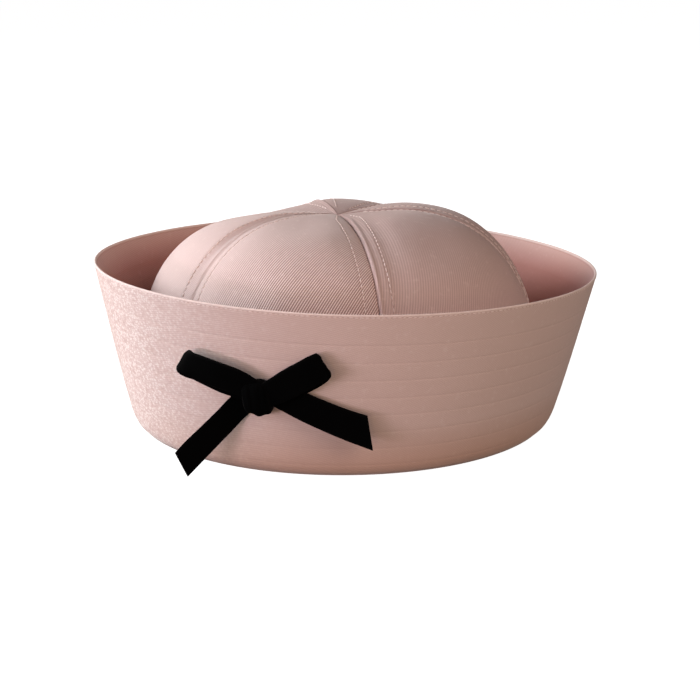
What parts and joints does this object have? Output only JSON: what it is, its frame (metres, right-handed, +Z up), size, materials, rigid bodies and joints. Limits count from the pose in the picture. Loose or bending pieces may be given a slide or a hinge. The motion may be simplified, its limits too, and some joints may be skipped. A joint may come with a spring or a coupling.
{
  "type": "sailor cap",
  "caption": "Soft sailor cap with a puffed gored crown, a stiff flared brim turned up round it and a small velvet ribbon bow on its front.",
  "frame": {"origin": "middle of the cap's foot, on the surface that it rests on", "axes": "+Z up; the front, with the bow, faces -Y; +X is to the right when the front is looked at"},
  "size_m": [0.2274, 0.2304, 0.0958],
  "materials": {
    "brim_cloth": "matte",
    "crown_twill": "matte",
    "velvet": "matte"
  },
  "bodies": {
    "root": {"brim": "brim_cloth", "crown_gore_front": "crown_twill", "crown_gore_front_right": "crown_twill", "crown_gore_back_right": "crown_twill", "crown_gore_back": "crown_twill", "crown_gore_back_left": "crown_twill", "crown_gore_left": "crown_twill", "bow_knot": "velvet", "bow_loop_left": "velvet", "bow_loop_right": "velvet", "bow_tail_left": "velvet", "bow_tail_right": "velvet"}
  },
  "joints": []
}
